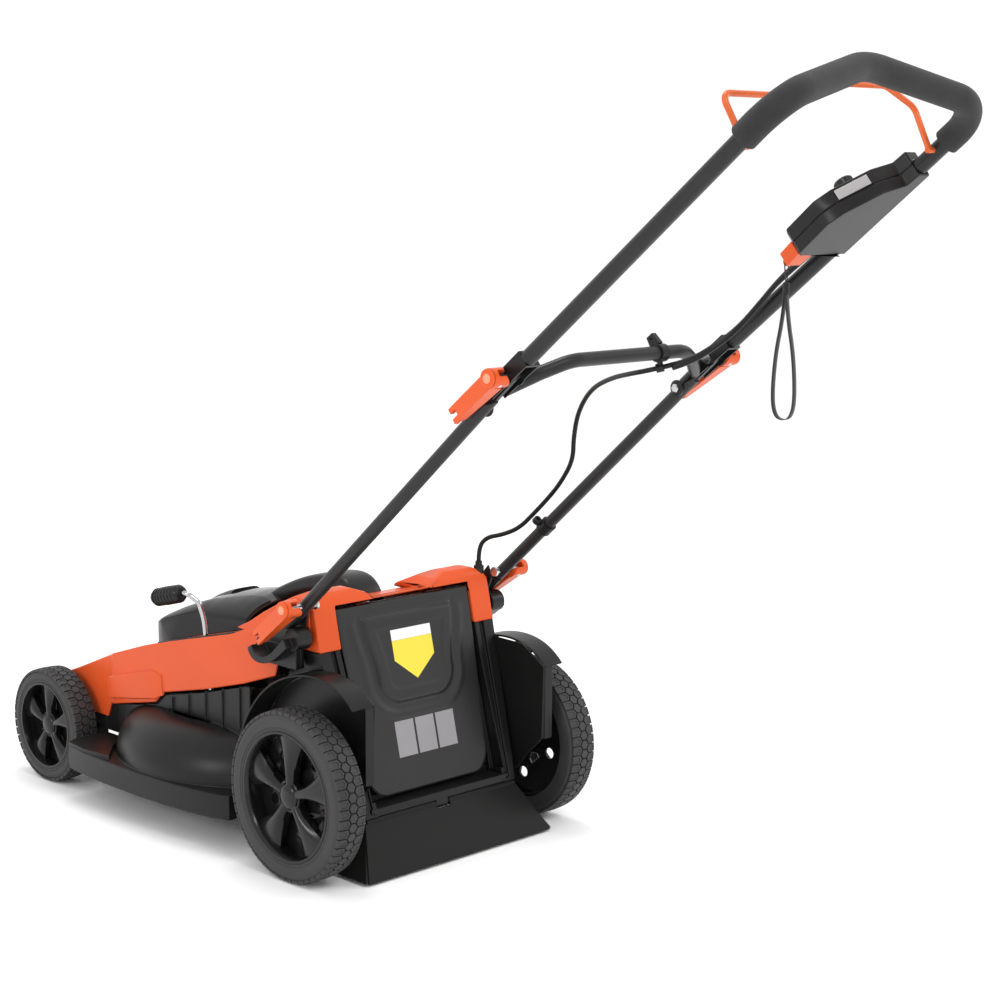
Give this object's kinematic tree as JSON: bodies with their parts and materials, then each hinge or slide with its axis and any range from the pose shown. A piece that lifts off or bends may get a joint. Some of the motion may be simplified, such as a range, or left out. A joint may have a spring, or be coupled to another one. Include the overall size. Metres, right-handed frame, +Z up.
{
  "type": "push lawn mower",
  "caption": "Walk-behind push lawn mower with battery motor, rotary blade, height lever, four wheels, rear discharge door and folding handle with bail and switch box.",
  "frame": {"origin": "middle of the footprint box, on the ground", "axes": "+Z up; +Y backwards towards the operator, along the longest extent; +X to the operator's left as they stand behind facing forward"},
  "size_m": [0.536, 1.6072, 1.1552],
  "materials": {
    "cover_plastic": "satin",
    "deck_plastic": "fine texture",
    "black_plastic": "satin",
    "grey_plastic": "satin",
    "rim_plastic": "gloss",
    "tyre_rubber": "matte",
    "flap_rubber": "matte",
    "tube_paint": "satin powder coat",
    "lever_plastic": "satin",
    "bail_paint": "gloss",
    "foam": "matte foam",
    "plated_steel": "satin",
    "chrome": "polished",
    "blade_steel": "satin",
    "copper_windings": "satin",
    "circuit_board": "satin",
    "battery_case": "satin",
    "lead_sheath": "satin",
    "webbing": "woven",
    "sintered_bush": "satin"
  },
  "bodies": {
    "deck": {"deck_shell": "deck_plastic", "top_cover": "cover_plastic", "height_quadrant": "black_plastic", "rear_frame": "deck_plastic", "discharge_chute": "deck_plastic", "fenders": "deck_plastic", "handle_brackets": "black_plastic", "hinge_pins": "plated_steel", "powerhead_base": "black_plastic", "carry_handle": "black_plastic", "battery_bay": "black_plastic", "battery_pack": "battery_case", "controller": "circuit_board", "motor_housing": "plated_steel", "motor_stator": "copper_windings", "spindle_bearings": "plated_steel", "axle_bushes": "sintered_bush", "lower_fold_bolts": "plated_steel", "lead_gland": "black_plastic", "lead_at_deck": "lead_sheath"},
    "battery_lid": {"battery_lid": "grey_plastic"},
    "blade_drive": {"blade_spindle": "plated_steel", "motor_rotor": "plated_steel", "blade_adapter": "black_plastic", "blade": "blade_steel", "blade_bolt": "plated_steel"},
    "rear_axle": {"rear_axle": "plated_steel"},
    "front_axle": {"front_axle": "plated_steel"},
    "height_lever": {"height_lever": "chrome", "lever_grip": "black_plastic"},
    "rear_door": {"rear_door": "black_plastic"},
    "trailing_flap": {"trailing_flap": "flap_rubber"},
    "lower_handle": {"lower_tubes": "tube_paint", "lower_cable_clip": "black_plastic", "upper_fold_bolts": "plated_steel"},
    "upper_handle": {"joint_sleeves": "black_plastic", "upper_handle_tube": "tube_paint", "foam_grip": "foam", "crossbar": "tube_paint", "crossbar_clip": "black_plastic", "switch_housing_lower": "black_plastic", "switch_housing_upper": "black_plastic", "switch_module": "battery_case", "lead_at_handle": "lead_sheath"},
    "start_button": {"start_button": "black_plastic"},
    "safety_key": {"safety_key": "lever_plastic", "lanyard": "webbing"},
    "bail": {"bail": "bail_paint"},
    "rear_wheel_left": {"rear_tyre_left": "tyre_rubber", "rear_rim_left": "rim_plastic"},
    "rear_wheel_right": {"rear_tyre_right": "tyre_rubber", "rear_rim_right": "rim_plastic"},
    "front_wheel_left": {"front_tyre_left": "tyre_rubber", "front_rim_left": "rim_plastic"},
    "front_wheel_right": {"front_tyre_right": "tyre_rubber", "front_rim_right": "rim_plastic"},
    "cam_lever_upper_left": {"cam_lever_upper_left": "lever_plastic"},
    "cam_lever_upper_right": {"cam_lever_upper_right": "lever_plastic"},
    "cam_lever_lower_left": {"cam_lever_lower_left": "lever_plastic"},
    "cam_lever_lower_right": {"cam_lever_lower_right": "lever_plastic"}
  },
  "joints": [
    {"name": "rear_axle_crank", "type": "hinge", "parent": "deck", "child": "rear_axle", "pos_m": [0, -0.08804, 0.105], "axis": [1, 0, 0], "range_deg": [-20, 22]},
    {"name": "front_axle_crank", "type": "hinge", "parent": "deck", "child": "front_axle", "pos_m": [0, -0.65104, 0.099], "axis": [1, 0, 0], "range_deg": [-22, 20]},
    {"name": "height_lever_pivot", "type": "hinge", "parent": "deck", "child": "height_lever", "pos_m": [0.165, -0.31704, 0.133], "axis": [1, 0, 0], "range_deg": [-20, 22]},
    {"name": "rear_wheel_spin_left", "type": "hinge", "parent": "rear_axle", "child": "rear_wheel_left", "pos_m": [0.236, -0.03004, 0.127], "axis": [1, 0, 0], "continuous": true},
    {"name": "front_wheel_spin_left", "type": "hinge", "parent": "front_axle", "child": "front_wheel_left", "pos_m": [0.2085, -0.70904, 0.096], "axis": [1, 0, 0], "continuous": true},
    {"name": "rear_wheel_spin_right", "type": "hinge", "parent": "rear_axle", "child": "rear_wheel_right", "pos_m": [-0.236, -0.03004, 0.127], "axis": [1, 0, 0], "continuous": true},
    {"name": "front_wheel_spin_right", "type": "hinge", "parent": "front_axle", "child": "front_wheel_right", "pos_m": [-0.2085, -0.70904, 0.096], "axis": [1, 0, 0], "continuous": true},
    {"name": "blade_spin", "type": "hinge", "parent": "deck", "child": "blade_drive", "pos_m": [0, -0.37004, 0.076], "axis": [0, 0, 1], "continuous": true},
    {"name": "battery_lid_hinge", "type": "hinge", "parent": "deck", "child": "battery_lid", "pos_m": [0, -0.58704, 0.262], "axis": [1, 0, 0], "range_deg": [0, 70]},
    {"name": "rear_door_hinge", "type": "hinge", "parent": "deck", "child": "rear_door", "pos_m": [0, -0.07204, 0.375], "axis": [1, 0, 0], "range_deg": [0, 70], "stiffness_Nm_per_rad": 0.6, "springref_deg": -20.05},
    {"name": "trailing_flap_hinge", "type": "hinge", "parent": "deck", "child": "trailing_flap", "pos_m": [0, 0.01996, 0.076], "axis": [1, 0, 0], "range_deg": [0, 45]},
    {"name": "lower_handle_fold", "type": "hinge", "parent": "deck", "child": "lower_handle", "pos_m": [0, -0.05004, 0.396], "axis": [1, 0, 0], "range_deg": [0, 120]},
    {"name": "upper_handle_fold", "type": "hinge", "parent": "lower_handle", "child": "upper_handle", "pos_m": [0, 0.36996, 0.758], "axis": [1, 0, 0], "range_deg": [-145, 0]},
    {"name": "cam_lever_lower_left", "type": "hinge", "parent": "deck", "child": "cam_lever_lower_left", "pos_m": [0.2275, -0.05004, 0.396], "axis": [0, -0.5701, 0.8216], "range_deg": [0, 90]},
    {"name": "cam_lever_lower_right", "type": "hinge", "parent": "deck", "child": "cam_lever_lower_right", "pos_m": [-0.2275, -0.05004, 0.396], "axis": [0, 0.5701, -0.8216], "range_deg": [0, 90]},
    {"name": "cam_lever_upper_left", "type": "hinge", "parent": "lower_handle", "child": "cam_lever_upper_left", "pos_m": [0.2275, 0.36996, 0.758], "axis": [0, -0.5701, 0.8216], "range_deg": [0, 90]},
    {"name": "cam_lever_upper_right", "type": "hinge", "parent": "lower_handle", "child": "cam_lever_upper_right", "pos_m": [-0.2275, 0.36996, 0.758], "axis": [0, 0.5701, -0.8216], "range_deg": [0, 90]},
    {"name": "bail_hinge", "type": "hinge", "parent": "upper_handle", "child": "bail", "pos_m": [0, 0.72682, 1.04349], "axis": [1, 0, 0], "range_deg": [-24, 0], "stiffness_Nm_per_rad": 0.5, "springref_deg": 68.75},
    {"name": "start_button_press", "type": "slide", "parent": "upper_handle", "child": "start_button", "axis": [0, 0.6247, -0.7809], "range_m": [0, 0.0035], "stiffness_N_per_m": 1500, "springref_m": -0.002},
    {"name": "safety_key_pull", "type": "slide", "parent": "upper_handle", "child": "safety_key", "axis": [0, -0.7809, -0.6247], "range_m": [0, 0.05]}
  ],
  "couplings": [
    {"joint": "front_axle_crank", "follows": "rear_axle_crank", "ratio": -1},
    {"joint": "height_lever_pivot", "follows": "rear_axle_crank", "ratio": 1}
  ]
}
